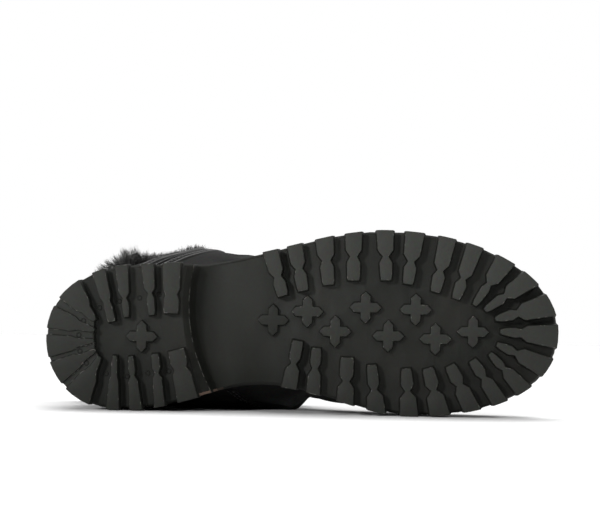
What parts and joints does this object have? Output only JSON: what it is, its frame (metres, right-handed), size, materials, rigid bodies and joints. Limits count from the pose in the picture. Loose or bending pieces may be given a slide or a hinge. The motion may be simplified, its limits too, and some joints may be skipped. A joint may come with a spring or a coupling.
{
  "type": "ankle boot",
  "caption": "Fur-lined ankle boot with a side zip and a lugged rubber sole, right foot, lying on its inner side.",
  "frame": {"origin": "middle of the boot's footprint on the floor, at floor height, as the boot lies on its inner side", "axes": "+X from heel to toe, +Y from the tread up to the collar, +Z from the inner side on the floor up to the outer side"},
  "size_m": [0.2772, 0.1442, 0.1006],
  "materials": {
    "sole_rubber": "matte moulded, near black",
    "upper_leather": "black, soft satin",
    "fur": "charcoal pile with pale tips",
    "insole_fleece": "short dark pile",
    "zip_tape": "black woven tape with a black coil"
  },
  "bodies": {
    "root": {"outsole": "sole_rubber", "upper": "upper_leather", "insole": "insole_fleece", "fur_collar": "fur", "zip_chain": "zip_tape"}
  },
  "joints": []
}
